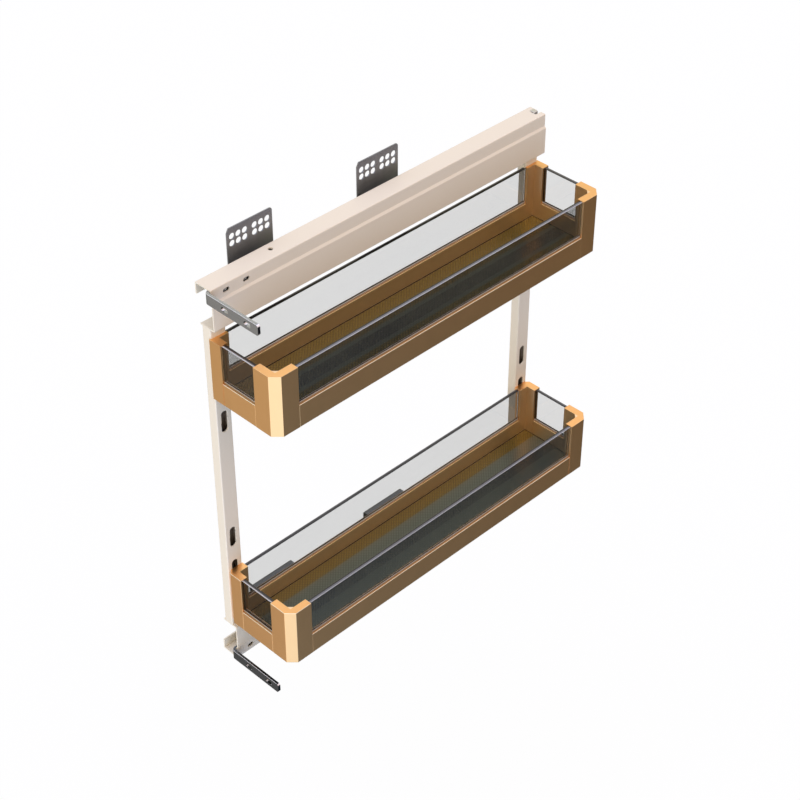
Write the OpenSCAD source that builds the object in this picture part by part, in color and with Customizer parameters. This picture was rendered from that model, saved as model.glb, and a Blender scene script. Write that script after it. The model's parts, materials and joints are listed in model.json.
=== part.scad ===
// Pull-out organizer for a narrow base cabinet.
// Two glass-walled baskets hang on a steel frame, which runs out of the cabinet
// on a full-extension ball slide at its top and another at its bottom.
// +Z is up, -Y is the way that the frame pulls out, and +X is across the cabinet,
// from the side wall that carries the brackets towards the baskets.

/* [Frame] */
// Height of the posts, from rail to rail
post_h = 374.8; // [350:0.1:520]
// Width of a post, front to back
post_w = 18.2; // [16:0.1:19]
// Depth of a post, across the cabinet
post_d = 11.3; // [10.5:0.1:12]
// Wall of a post
post_wall = 1.5; // [1:0.1:2]
// Rounding of a post's long edges
post_round = 1.2; // [0.5:0.1:1.8]
// How far the rails run on behind the rear post
rail_tail = 3.8; // [0:0.1:10]
// Height of a slot in a post
slot_h = 25.3; // [20:0.1:30]
// Width of a slot in a post
slot_w = 8.2; // [5:0.1:9.5]
// Spacing of the slots in a group
slot_pitch = 43.6; // [40:0.1:48]
// Slots in each group
slot_count = 3; // [1:1:3]
// First slot of the lower group, above the lower end of its post
slot_low = 28.9; // [26:0.1:34]
// Last slot of the upper group, below the upper end of its post
slot_high = 24.4; // [20:0.1:30]
// Length of the plug in each end of a post
plug_len = 12; // [8:0.5:20]
// Diameter of the countersunk screws that hold the posts
post_screw_d = 4; // [3:0.1:4.4]
// Head of a countersunk screw
post_head_d = 7.6; // [7:0.1:8.2]
// Spacing of the two screws in an end of a post
post_screw_gap = 8.2; // [8:0.1:9]

/* [Rail] */
// Thickness of the rail's sheet
rail_t = 1.5; // [1:0.1:1.8]
// Height of a rail
rail_h = 45.7; // [45:0.1:56]
// Width of the flange on the far side from the posts
rail_top_w = 21.8; // [20:0.1:24]
// Width of the flange that the posts stand on
rail_foot_w = 19.8; // [19:0.1:20.2]
// Height of the turned-down lip
rail_lip = 12.9; // [6:0.1:13.4]
// Height of the set-back band along the outer edge of the web
rail_band = 16.1; // [16:0.1:18]
// Height of the slope between the band and the web
rail_slope = 2.5; // [1:0.1:4]
// How far the band is set back from the web
rail_step = 1.7; // [1.3:0.1:2]
// How far the web stands in front of the posts
rail_proud = 6.5; // [6:0.1:7]
// Outer radius of the rail's bends
rail_bend = 1.2; // [0.8:0.1:2.1]
// Outer radius of the two bends of the slope
step_bend = 0.9; // [0.5:0.1:1.1]
// Length of a slot for a door bracket
web_slot_l = 8; // [6:0.1:10]
// Width of a slot for a door bracket
web_slot_w = 4.6; // [4:0.1:5.5]
// First slot, behind the front end of the rail
web_slot_y = 18.4; // [14:0.1:22]
// Spacing of the two slots
web_slot_pitch = 24.1; // [20:0.1:26]
// Diameter of the lock hole in the outer flange
lock_hole_d = 5; // [3:0.1:7]
// Lock hole, behind the front end of the rail
lock_hole_y = 83.6; // [60:0.1:120]
// Lock hole, in front of the posts' inner face
lock_hole_x = 8.1; // [5:0.1:11]
// Width of the notch at the rear end of the outer flange
notch_w = 5.8; // [5:0.1:7]
// Depth of the notch
notch_l = 7.8; // [5.5:0.1:9]
// Side of the notch towards the lip, from the posts' outer face
notch_edge = 7.2; // [6.4:0.1:8]

/* [Ball slide] */
// Front end of the slide, behind the front end of the rail
slide_setback = 24.7; // [23:0.1:28]
// Rear end of the slide, in front of the rear end of the rail
slide_tail = 2.4; // [0:0.1:6]
// How much shorter the pull-out is than the slide
travel_short = 4; // [0:1:120]
// Height of the slide
slide_h = 28.6; // [28.4:0.1:28.8]
// Thickness of a member's sheet
member_t = 1.5; // [1.3:0.05:1.55]
// Outer radius of a member's bends
member_bend = 2; // [1.7:0.1:2.2]
// Depth of the cabinet member's flanges
cabinet_flange = 10; // [9.5:0.1:11]
// Depth of the middle member's flanges
middle_flange = 12.5; // [12:0.1:13]
// Depth of the carrier member's flanges
carrier_flange = 9.7; // [9.4:0.1:10.2]
// Space between two members that the balls run in
ball_gap = 2.1; // [2:0.05:2.2]
// Diameter of a ball
ball_d = 3.2; // [3:0.05:3.3]
// Running clearance between a ball and its groove
ball_play = 0.15; // [0.1:0.01:0.2]
// Clearance between the cabinet member's back and the middle member
middle_gap = 1.7; // [1.6:0.05:1.8]
// Outer ball row, in front of the cabinet member's back
outer_row = 7; // [6.6:0.1:7.4]
// Inner ball row, in front of the cabinet member's back
inner_row = 12.6; // [12.3:0.1:13]
// Thickness of a cage's sheet
cage_t = 0.8; // [0.5:0.05:0.9]
// How far a cage stays inside its members' ends when pulled out
cage_inset = 1; // [0.5:0.1:5]
// Spacing of the balls along a cage
ball_pitch = 17; // [10:0.5:30]
// Clearance between a ball and its hole in the cage
cage_play = 0.1; // [0.05:0.01:0.15]

/* [Brackets] */
// Thickness of a bracket's sheet
bracket_t = 1.2; // [1:0.1:2]
// Width of a bracket, front to back
bracket_w = 55.8; // [54:0.1:64]
// Distance from a bracket's outer face to the back of the slide
bracket_reach = 15; // [14:0.1:18]
// Middle of the front bracket, behind the front end of the rail
bracket_y = 76.8; // [60:0.1:100]
// Spacing of the front and rear brackets
bracket_pitch = 165.1; // [100:0.1:280]
// How far a bracket stands above its rail
bracket_rise = 27.4; // [22:0.1:40]
// Clearance between the rail's foot and the bracket's flange
bracket_gap = 4.4; // [2:0.1:5]
// Clearance between the bracket's inner leg and the rail's lip
leg_gap = 1.7; // [1:0.1:4]
// Outer radius of a bracket's bends
bracket_bend = 3; // [2.2:0.1:4]
// Rounding of a bracket's rear corner
bracket_corner = 3; // [1:0.1:4.5]
// Cut across a bracket's front corner, measured along its edge
bracket_cut_w = 2.6; // [1:0.1:4]
// Cut across a bracket's front corner, measured down its side
bracket_cut_h = 4.8; // [1:0.1:5]
// Diameter of a bracket's screw holes
screw_hole_d = 6.6; // [4:0.1:6.8]
// Upper row of holes, below the edge of the bracket
screw_row_y = 9.7; // [6:0.1:10]
// Spacing of the two rows of holes
screw_row_pitch = 7.7; // [7.2:0.1:9]
// First hole in a row, from the middle of the bracket
screw_col_first = 6; // [5:0.1:6.6]
// Spacing of the holes in a row
screw_col_pitch = 7.8; // [7.2:0.1:8]
// Holes on each side of the middle
screw_cols = 3; // [1:1:3]
// Diameter of a rivet
rivet_d = 4.8; // [4:0.1:5]
// Diameter of a rivet's head
rivet_head_d = 7.6; // [6.5:0.1:9]
// Height of a rivet's head
rivet_head_h = 1.4; // [1:0.1:2]
// Spacing of the two rivets in a bracket
rivet_pitch = 34; // [20:0.5:40]

/* [Baskets] */
// Width of a basket, across the cabinet
basket_w = 93.2; // [80:0.1:140]
// Length of a basket, front to back
basket_l = 450; // [350:0.5:600]
// Height of a basket
basket_h = 68.4; // [66:0.1:80]
// Thickness of a basket's walls
wall = 8.7; // [8.5:0.1:9.5]
// How far the baskets reach in front of the front post
basket_front = 1.3; // [1:0.1:2]
// How far the baskets reach behind the rear post
basket_back = 1.4; // [1:0.1:2]
// Underside of the lower basket, above the lower end of the posts
lower_basket_z = 6.9; // [5:0.1:9]
// Top of the upper basket, below the upper end of the posts
upper_basket_z = 10.4; // [9:0.1:13]
// How deep the upper basket is let in round the posts
rebate = 5.3; // [0.5:0.1:5.3]
// Length of the legs of a corner piece beside the posts
inner_leg = 20; // [19.9:0.1:21]
// Length of the legs of a corner piece away from the posts
outer_leg = 28.7; // [20:0.1:34]
// Flat across the outer edge of a corner piece beside the posts
inner_flat = 4.5; // [1:0.1:5]
// Flat across the outer edge of a corner piece away from the posts
outer_flat = 8.4; // [1:0.1:10]
// Flat across the inner edge of a corner piece away from the posts
inside_flat = 4.5; // [1:0.1:6]
// Height of a bottom rail
sill_h = 25.2; // [24:0.1:32]
// Depth of the groove that the glass stands in
glass_groove = 8; // [5:0.1:9]
// Thickness of the glass
glass_t = 4; // [3:0.1:4.2]
// Clearance on each side of the glass
glass_play = 0.1; // [0.05:0.01:0.2]
// How far the glass stays below the tops of the corner pieces
glass_drop = 1; // [0.6:0.1:3]
// How far the glass reaches into a corner piece
glass_bite = 5; // [2:0.1:8]
// Thickness of the floor panel
floor_t = 4; // [3:0.1:4.5]
// Underside of the floor panel, above the underside of the basket
floor_z = 2; // [1.2:0.1:2.4]
// How far the floor panel reaches into the walls
floor_bite = 2.7; // [2:0.1:3]
// Flat across the corners of the floor panel
floor_flat = 5; // [3:0.1:8]
// Clearance round the floor panel
floor_play = 0.1; // [0.05:0.01:0.2]
// Length of the tongues that join a corner piece to the rails
tongue_len = 14; // [8:0.5:25]
// Clearance of a tongue in its rail
tongue_play = 0.1; // [0.05:0.01:0.15]
// Diameter of a basket screw
basket_screw_d = 4; // [3:0.1:5]
// Diameter of a basket screw's flange
basket_flange_d = 12; // [10:0.1:14]
// Lower screw of each basket, above its underside
basket_screw_z = 16.5; // [15:0.1:18]

/* [Door brackets] */
// Thickness of a door bracket
door_t = 3; // [2.4:0.1:3.2]
// Height of a door bracket
door_h = 11.6; // [10.5:0.1:11.8]
// Reach of a door bracket across the cabinet, from the posts' face
door_reach = 73; // [50:0.1:90]
// How far a door bracket stands in front of the baskets
door_proud = 3; // [2.8:0.1:6]
// Length of the leg inside the rail
door_leg = 50; // [44:0.5:70]
// Inner radius of a door bracket's bend
door_bend = 2; // [1:0.1:4]
// Clearance between a door bracket and its rail
door_play = 0.3; // [0.25:0.05:0.4]
// Bevel along a door bracket's edges
door_bevel = 0.2; // [0.1:0.1:1]
// Rounding of a door bracket's free end, on the side away from the baskets
door_round_out = 3; // [1:0.1:5]
// Rounding of a door bracket's free end, on the side of the baskets
door_round_in = 2.5; // [1:0.1:5]
// Length of a screw slot in a door bracket
door_slot_l = 9; // [7:0.1:12]
// Width of a screw slot in a door bracket
door_slot_w = 4.5; // [3.5:0.1:6]
// First screw slot, from the posts' face
door_slot_x = 28.2; // [20:0.1:30]
// Spacing of the screw slots
door_slot_pitch = 30.4; // [14:0.1:34]
// Diameter of the tapped holes in the leg
door_tap_d = 3.3; // [2.5:0.1:4]

/* [Rear hooks] */
// Thickness of a rear hook
hook_t = 1.2; // [0.8:0.1:1.3]
// Width of a rear hook, front to back
hook_w = 4.8; // [4:0.1:5.4]
// Reach of a rear hook's head over the flange
hook_head = 6.3; // [5:0.1:7]
// Height of a rear hook's foot on the web
hook_foot = 11; // [6:0.1:12]

/* [Hidden] */
$fn = 32;
BEND_STEPS = 4;
EPS = 0.01;
PLAY = 0.05;
// Least inner radius of a folded sheet
MIN_BEND = 0.2;
// Space between the upper basket's corner pieces and the sides of the posts
POST_GAP = 0.2;
FLANGE_GAP = 0.2;
SIDE_GAP = 0.3;
// Space between the tips of the middle member and the carrier member's back
TIP_GAP = 2;
// Space between the rail's foot and the slide
FOOT_GAP = 0.7;
// Space between the middle member's back and the inner cage
CAGE_GAP = 0.7;
// Length of plug left below the tips of the post screws
PLUG_FLOOR = 2;
// Ribs inside the section of a bottom rail
RIB = 1.5;
// Part of a corner piece's wall left behind the end of a basket screw
SCREW_WALL = 0.9;
// Longest thread of a basket screw in a corner piece
SCREW_BITE = 6.2;
// Thickness of a basket screw's flange, and height of its head
FLANGE_H = 1;
HEAD_H = 2.4;

// Colours of the finishes
CREAM = [0.93, 0.89, 0.83];
GOLD = [0.76, 0.57, 0.33];
ZINC = [0.62, 0.62, 0.62];
STEEL = [0.8, 0.8, 0.82];
BRASS = [0.78, 0.66, 0.36];
GLASS = [0.78, 0.84, 0.86, 0.4];
SMOKE = [0.16, 0.16, 0.15];

// Work coordinates: X from the posts' outer face, Y from the front of the baskets,
// and Z from half way up the posts. The upper and lower rails are mirror images in Z.
half = post_h / 2;
rail_y = basket_front;
rear_post_y = basket_l - basket_back - post_w;
rail_len = rear_post_y + post_w + rail_tail - rail_y;
rail_top = half + rail_h;
web_x = rail_proud;
web_in = web_x - rail_t;
band_x = web_x - rail_step;
band_in = band_x - rail_t;
lip_z = rail_top - rail_lip;
plug_w = post_w - 2 * (post_wall + PLAY);
plug_d = post_d - 2 * (post_wall + PLAY);

// Slide: s is measured from the cabinet member's back, h from the slide's middle
half_h = slide_h / 2;
middle_half = half_h - member_t - ball_gap;
carrier_half = middle_half - member_t - ball_gap;
middle_s = member_t + middle_gap;
slide_d = middle_s + middle_flange + TIP_GAP + member_t;
slide_x = web_in - slide_d;
slide_y = rail_y + slide_setback;
slide_len = rail_len - slide_setback - slide_tail;
travel = slide_len - travel_short;
slide_z = half + rail_t + FOOT_GAP + half_h;
outer_h = half_h - member_t - ball_gap / 2;
inner_h = middle_half - member_t - ball_gap / 2;
groove_r = ball_d / 2 + ball_play;
cage_len = slide_len - travel / 2 - 2 * cage_inset;
cage_y = slide_y + travel / 4 + cage_inset;
ball_count = floor((cage_len - 2 * ball_d) / ball_pitch) + 1;

// Brackets
plate_x = slide_x - bracket_reach;
bracket_top = rail_top + bracket_rise;
bracket_foot = half - bracket_gap;
leg_top = lip_z - leg_gap;
front_bracket_y = rail_y + bracket_y;
rear_bracket_y = front_bracket_y + bracket_pitch;
screw_z = bracket_top - screw_row_y - screw_row_pitch / 2;

// Baskets
upper_basket_bottom = half - upper_basket_z - basket_h;
lower_basket_bottom = -half + lower_basket_z;
glass_top = basket_h - glass_drop;
glass_bottom = sill_h - glass_groove;
glass_v = (wall - glass_t) / 2;
floor_in = wall - floor_bite;
tongue_low = floor_z + floor_t + floor_play + RIB;
tongue_high = glass_bottom - RIB;
tongue_in = glass_v - glass_play;
tongue_out = wall - RIB;

// Door brackets
door_x = band_in - door_play - door_t;
door_top = rail_top - rail_t - FLANGE_GAP;
door_z = door_top - door_h / 2;
door_y = -door_proud;
door_end = door_y + door_t + door_bend + door_leg;

// Directions and outlines

function unit(v) = v / norm(v);
function left_of(v) = [-v.y, v.x];
function flat(p) = [p.x, p.y];

// Arc that rounds corner b of an outline, between its neighbours a and c; b[2] is the radius
function corner_arc(a, b, c) =
    let (
        u = unit(flat(a) - flat(b)),
        v = unit(flat(c) - flat(b)),
        bisector = acos(u * v) / 2,
        reach = b[2] / tan(bisector),
        centre = flat(b) + unit(u + v) * b[2] / sin(bisector),
        from = flat(b) + u * reach - centre,
        to = flat(b) + v * reach - centre,
        start = atan2(from.y, from.x),
        turn = atan2(cross(from, to), from * to)
    )
    [for (i = [0 : BEND_STEPS])
        centre + b[2] * [cos(start + turn * i / BEND_STEPS), sin(start + turn * i / BEND_STEPS)]];

// Closed outline from corners [x, y, radius]
function rounded(c) =
    let (n = len(c))
    [for (i = [0 : n - 1]) each
        c[i][2] == 0 ? [flat(c[i])] : corner_arc(c[(i + n - 1) % n], c[i], c[(i + 1) % n])];

// One face of a folded sheet, d to the left of its middle line; p[i][2] is a bend's outer radius
function sheet_face(p, d, t) =
    [for (i = [0 : len(p) - 1])
        let (
            last = len(p) - 1,
            after = unit(flat(p[min(i + 1, last)]) - flat(p[min(i, last - 1)])),
            before = unit(flat(p[max(i, 1)]) - flat(p[max(i - 1, 0)])),
            n0 = left_of(before),
            n1 = left_of(after),
            spot = flat(p[i]) + (n0 + n1) * d / (1 + n0 * n1),
            inside = cross(before, after) * d > 0,
            r = i == 0 || i == last ? 0 : inside ? max(p[i][2] - t, MIN_BEND) : p[i][2]
        )
        [spot.x, spot.y, r]];

function flipped(v) = [for (i = [len(v) - 1 : -1 : 0]) v[i]];

// Outline of a folded sheet of thickness t
function sheet_outline(p, t) =
    rounded(concat(sheet_face(p, t / 2, t), flipped(sheet_face(p, -t / 2, t))));

// A profile drawn in X and Z, run along +Y from y for a length
module along_y(y, length) {
    translate([0, y + length, 0])
        rotate([90, 0, 0])
            linear_extrude(length)
                children();
}

module folded_sheet(p, t, y, length) {
    along_y(y, length)
        polygon(sheet_outline(p, t));
}

// Round bar along X
module bar_x(r, x0, x1) {
    translate([x0, 0, 0])
        rotate([0, 90, 0])
            cylinder(r = r, h = x1 - x0);
}

// Slot along Y, cut through a wall that lies across X
module slot_y(length, width, x0, x1) {
    for (side = [-1, 1])
        translate([0, side * (length - width) / 2, 0])
            bar_x(width / 2, x0, x1);
    translate([x0, -(length - width) / 2, -width / 2])
        cube([x1 - x0, length - width, width]);
}

// Places

// The frame's origin is on the outer face of the upper front bracket, in the middle of its holes
module in_frame() {
    translate([-plate_x, -front_bracket_y, -screw_z])
        children();
}

module upper() {
    in_frame()
        children();
}

module lower() {
    in_frame()
        mirror([0, 0, 1])
            children();
}

module in_upper_basket() {
    in_frame()
        translate([-rebate, 0, upper_basket_bottom])
            children();
}

module in_lower_basket() {
    in_frame()
        translate([0, 0, lower_basket_bottom])
            children();
}

// Brackets

// J-shaped bracket: a plate against the cabinet, a flange under the rail and a leg up into it
module bracket(y) {
    mid = bracket_t / 2;
    path = [
        [plate_x + mid, bracket_top],
        [plate_x + mid, bracket_foot - mid, bracket_bend],
        [slide_x - mid, bracket_foot - mid, bracket_bend],
        [slide_x - mid, leg_top]
    ];
    color(ZINC)
        difference() {
            intersection() {
                folded_sheet(path, bracket_t, y - bracket_w / 2, bracket_w);
                bracket_side_view(y);
            }
            bracket_holes(y);
            rivet_holes(y);
        }
}

// Outline of a bracket seen from the side, with one upper corner cut and the other rounded
module bracket_side_view(y) {
    low = bracket_foot - bracket_t - 1;
    front = -bracket_w / 2;
    translate([plate_x - 1, y, 0])
        rotate([90, 0, 90])
            linear_extrude(slide_x - plate_x + 2)
                polygon(rounded([
                    [front, low, 0],
                    [-front, low, 0],
                    [-front, bracket_top, bracket_corner],
                    [front + bracket_cut_w, bracket_top, 0],
                    [front, bracket_top - bracket_cut_h, 0]
                ]));
}

module bracket_holes(y) {
    for (side = [-1, 1], col = [0 : screw_cols - 1], row = [-0.5, 0.5])
        translate([
            0,
            y + side * (screw_col_first + col * screw_col_pitch),
            screw_z + row * screw_row_pitch
        ])
            bar_x(screw_hole_d / 2, plate_x - 1, plate_x + bracket_t + 1);
}

module at_rivets(y) {
    for (side = [-1, 1])
        translate([0, y + side * rivet_pitch / 2, slide_z])
            children();
}

module rivet_holes(y) {
    at_rivets(y)
        bar_x(rivet_d / 2 + PLAY, slide_x - bracket_t - 1, slide_x + member_t + EPS);
}

// Rivet with a low round head on the bracket and a flush end inside the slide
module rivets(y) {
    head_r = rivet_head_d / 2;
    dome_r = (head_r * head_r + rivet_head_h * rivet_head_h) / (2 * rivet_head_h);
    at_rivets(y) {
        bar_x(rivet_d / 2, slide_x - bracket_t, slide_x + member_t);
        intersection() {
            bar_x(head_r, slide_x - bracket_t - rivet_head_h, slide_x - bracket_t);
            translate([slide_x - bracket_t - rivet_head_h + dome_r, 0, 0])
                sphere(dome_r, $fn = 64);
        }
    }
}

module bracket_rivets() {
    color(STEEL) {
        for (y = [front_bracket_y, rear_bracket_y]) {
            upper()
                rivets(y);
            lower()
                rivets(y);
        }
    }
}

// Ball slide

// Channel-shaped sheet that opens towards +s or -s, given the faces of its back and flanges
module channel(back_s, tip_s, half_height, t, bend, y, length) {
    dir = tip_s > back_s ? 1 : -1;
    mid = t / 2;
    path = [
        [slide_x + tip_s, slide_z + half_height - mid],
        [slide_x + back_s + dir * mid, slide_z + half_height - mid, bend],
        [slide_x + back_s + dir * mid, slide_z - half_height + mid, bend],
        [slide_x + tip_s, slide_z - half_height + mid]
    ];
    folded_sheet(path, t, y, length);
}

// The two grooves of a ball row, one above and one below the slide's middle
module grooves(row_s, row_h) {
    for (side = [-1, 1])
        translate([slide_x + row_s, slide_y - 1, slide_z + side * row_h])
            rotate([-90, 0, 0])
                cylinder(r = groove_r, h = slide_len + 2);
}

module cabinet_member() {
    color(ZINC)
        difference() {
            channel(0, cabinet_flange, half_h, member_t, member_bend, slide_y, slide_len);
            grooves(outer_row, outer_h);
            rivet_holes(front_bracket_y);
            rivet_holes(rear_bracket_y);
        }
}

module middle_member() {
    tip = middle_s + middle_flange;
    color(ZINC)
        difference() {
            channel(middle_s, tip, middle_half, member_t, member_bend, slide_y, slide_len);
            grooves(outer_row, outer_h);
            grooves(inner_row, inner_h);
        }
}

module carrier_member() {
    tip = slide_d - carrier_flange;
    color(ZINC)
        difference() {
            channel(slide_d, tip, carrier_half, member_t, member_bend, slide_y, slide_len);
            grooves(inner_row, inner_h);
        }
}

// Places of the balls of one row, above and below the slide's middle
module at_balls(row_s, row_h) {
    first = cage_y + (cage_len - (ball_count - 1) * ball_pitch) / 2;
    for (side = [-1, 1], i = [0 : ball_count - 1])
        translate([slide_x + row_s, first + i * ball_pitch, slide_z + side * row_h])
            children();
}

// Cage: a thin channel between two members, with a hole for each ball
module cage(back_s, tip_s, row_s, row_h) {
    color(BRASS)
        difference() {
            channel(back_s, tip_s, row_h + cage_t / 2, cage_t, cage_t + 0.4, cage_y, cage_len);
            at_balls(row_s, row_h)
                cylinder(r = ball_d / 2 + cage_play, h = 3 * cage_t, center = true);
        }
}

module outer_cage() {
    cage(member_t + (middle_gap - cage_t) / 2, cabinet_flange - CAGE_GAP, outer_row, outer_h);
}

module inner_cage() {
    cage(middle_s + member_t + CAGE_GAP, middle_s + middle_flange - CAGE_GAP, inner_row, inner_h);
}

module balls(row_s, row_h) {
    color(STEEL)
        at_balls(row_s, row_h)
            sphere(ball_d / 2);
}

// Frame

module rail() {
    mid = rail_t / 2;
    slope_z = rail_top - rail_band - mid * tan(atan2(rail_step, rail_slope) / 2);
    path = [
        [band_x - rail_top_w + mid, lip_z],
        [band_x - rail_top_w + mid, rail_top - mid, rail_bend],
        [band_x - mid, rail_top - mid, rail_bend],
        [band_x - mid, slope_z + rail_slope, step_bend],
        [web_x - mid, slope_z, step_bend],
        [web_x - mid, half + mid, rail_bend],
        [web_x - rail_foot_w, half + mid]
    ];
    color(CREAM)
        difference() {
            folded_sheet(path, rail_t, rail_y, rail_len);
            web_slots();
            lock_hole();
            rear_notch();
            post_screw_holes();
        }
}

module at_web_slots() {
    for (i = [0, 1])
        translate([0, rail_y + web_slot_y + i * web_slot_pitch, door_z])
            children();
}

module web_slots() {
    at_web_slots()
        slot_y(web_slot_l, web_slot_w, band_in - 1, band_x + 1);
}

module lock_hole() {
    translate([-lock_hole_x, rail_y + lock_hole_y, rail_top - rail_t - 1])
        cylinder(d = lock_hole_d, h = rail_t + 2);
}

// The notch lets the stem of the rear hook through
module rear_notch() {
    translate([-notch_edge, rail_y + rail_len - notch_l, rail_top - rail_t - 1])
        cube([notch_w, notch_l + 1, rail_t + 2]);
}

module at_post_screws() {
    for (y = [rail_y, rear_post_y], side = [-0.5, 0.5])
        translate([-post_d / 2, y + post_w / 2 + side * post_screw_gap, half + rail_t])
            children();
}

// Countersunk screw, head up, with its head flush at z = 0
module countersunk(play) {
    shank_r = post_screw_d / 2 + play;
    head_r = post_head_d / 2 + play;
    cone_h = head_r - shank_r;
    translate([0, 0, -cone_h - play])
        cylinder(r1 = shank_r, r2 = head_r, h = cone_h);
    translate([0, 0, -rail_t - plug_len + PLUG_FLOOR - play])
        cylinder(r = shank_r, h = rail_t + plug_len - PLUG_FLOOR - cone_h + EPS);
}

module post_screw_holes() {
    at_post_screws() {
        countersunk(PLAY);
        cylinder(d = post_head_d + 2 * PLAY, h = 2 * PLAY, center = true);
    }
}

module post_screws() {
    color(STEEL) {
        upper()
            at_post_screws()
                countersunk(0);
        lower()
            at_post_screws()
                countersunk(0);
    }
}

// Middle heights of the slots in a post
function slot_heights() = [
    for (i = [0 : slot_count - 1]) -half + slot_low + i * slot_pitch,
    for (i = [0 : slot_count - 1]) half - slot_high - i * slot_pitch
];

// Rectangular tube with a group of upright slots through both sides near each end
module post(y) {
    color(CREAM)
        difference() {
            translate([-post_d, y, -half])
                linear_extrude(post_h)
                    difference() {
                        polygon(rounded([
                            [0, 0, post_round],
                            [post_d, 0, post_round],
                            [post_d, post_w, post_round],
                            [0, post_w, post_round]
                        ]));
                        translate([post_wall, post_wall])
                            square([post_d - 2 * post_wall, post_w - 2 * post_wall]);
                    }
            for (z = slot_heights())
                translate([0, y + post_w / 2, z])
                    rotate([90, 0, 0])
                        slot_y(slot_h, slot_w, -post_d - 1, 1);
        }
}

// Block in the end of a post that the screws through the rail's foot hold
module plug(y) {
    difference() {
        translate([-post_d / 2 - plug_d / 2, y + post_w / 2 - plug_w / 2, half - plug_len])
            cube([plug_d, plug_w, plug_len]);
        post_screw_holes();
    }
}

module post_plugs() {
    color(STEEL) {
        for (y = [rail_y, rear_post_y]) {
            upper()
                plug(y);
            lower()
                plug(y);
        }
    }
}

// Strip on the web whose head rises through the notch and lies over the flange
module rear_hook() {
    mid = hook_t / 2;
    head_z = rail_top + FLANGE_GAP + mid;
    stem_x = -notch_edge + notch_w / 2 + SIDE_GAP;
    under_z = rail_top - rail_t - FLANGE_GAP - mid;
    path = [
        [band_in - mid, under_z - hook_foot],
        [band_in - mid, under_z, hook_t + 0.3],
        [stem_x, under_z, hook_t / 2],
        [stem_x, head_z, hook_t / 2],
        [stem_x + mid - hook_head, head_z]
    ];
    color(STEEL)
        folded_sheet(path, hook_t, rail_y + rail_len - notch_l + SIDE_GAP, hook_w);
}

// Door brackets

// Cross-section of the bevelled bar, with d across its thickness and z along its height
module door_section() {
    b = door_bevel;
    polygon([
        [b, 0], [door_t - b, 0], [door_t, b], [door_t, door_h - b],
        [door_t - b, door_h], [b, door_h], [0, door_h - b], [0, b]
    ]);
}

// Flat bar bent through a right angle: its leg lies in the rail and its arm crosses the front
module door_bracket() {
    bend_x = door_x + door_t + door_bend;
    bend_y = door_y + door_t + door_bend;
    low = door_top - door_h;
    color(ZINC)
        difference() {
            intersection() {
                translate([0, 0, low]) {
                    translate([door_x, bend_y + door_leg, 0])
                        rotate([90, 0, 0])
                            linear_extrude(door_leg)
                                door_section();
                    translate([bend_x, bend_y, 0])
                        rotate([0, 0, 180])
                            rotate_extrude(angle = 90, $fn = 64)
                                translate([door_bend, 0])
                                    door_section();
                    translate([bend_x, door_y, 0])
                        rotate([90, 0, 90])
                            linear_extrude(door_reach - bend_x)
                                door_section();
                }
                door_front_view(low);
            }
            door_holes();
        }
}

// Outline of a door bracket seen from the front, with its free end rounded
module door_front_view(low) {
    translate([0, door_end + 1, low])
        rotate([90, 0, 0])
            linear_extrude(door_end - door_y + 2)
                polygon(rounded([
                    [door_x - 1, 0, 0],
                    [door_reach, 0, door_round_in],
                    [door_reach, door_h, door_round_out],
                    [door_x - 1, door_h, 0]
                ]));
}

module door_holes() {
    for (i = [0, 1])
        translate([door_slot_x + i * door_slot_pitch, 0, door_z])
            rotate([0, 0, 90])
                slot_y(door_slot_l, door_slot_w, door_y - 1, door_y + door_t + 1);
    at_web_slots()
        bar_x(door_tap_d / 2, door_x - 1, door_x + door_t + 1);
}

// Baskets: local X and Y run from the outer corner beside the front post

// Outline of a corner piece, with u and v measured inwards from its outer faces
function corner_outline(leg, flat_out, flat_in) = concat(
    [[flat_out, 0], [leg, 0], [leg, wall]],
    flat_in > 0 ? [[wall + flat_in, wall], [wall, wall + flat_in]] : [[wall, wall]],
    [[wall, leg], [0, leg], [0, flat_out]]
);

// Tongue on the end of a leg that runs along u, and the slot for the glass
module tongue(leg, inset) {
    translate([leg - EPS, max(tongue_in, inset) + tongue_play, tongue_low + tongue_play])
        cube([
            tongue_len + EPS,
            tongue_out - max(tongue_in, inset) - 2 * tongue_play,
            tongue_high - tongue_low - 2 * tongue_play
        ]);
}

module glass_slot(leg) {
    translate([leg - glass_bite - glass_play, glass_v - glass_play, glass_bottom])
        cube([glass_bite + 1, glass_t + 2 * glass_play, glass_top - glass_bottom + glass_play]);
}

module swap_uv() {
    mirror([1, -1, 0])
        children();
}

// Floor panel's outline, grown by a clearance
function floor_outline(play) =
    let (
        a = floor_in - play,
        b = basket_w - floor_in + play,
        c = basket_l - floor_in + play,
        f = floor_flat
    )
    [
        [a + f, a], [b - f, a], [b, a + f], [b, c - f],
        [b - f, c], [a + f, c], [a, c - f], [a, a + f]
    ];

module floor_space() {
    translate([0, 0, floor_z - floor_play])
        linear_extrude(floor_t + 2 * floor_play)
            polygon(floor_outline(floor_play));
}

// Corner piece in its own u and v; inset is how deep its post is let in, and post_in how far
// the post stands back from the end of the basket
module corner_body(leg, flat_out, flat_in, inset, post_in, side_slot) {
    difference() {
        union() {
            linear_extrude(basket_h)
                polygon(corner_outline(leg, flat_out, flat_in));
            tongue(leg, 0);
            swap_uv()
                tongue(leg, inset);
        }
        glass_slot(leg);
        if (side_slot)
            swap_uv()
                glass_slot(leg);
        if (inset > 0)
            translate([-1, post_in - POST_GAP, -1])
                cube([inset + 1, leg, basket_h + 2]);
    }
}

// How far a basket screw reaches into the corner piece
function screw_reach(inset) = min(wall - inset - SCREW_WALL, SCREW_BITE);

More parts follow.
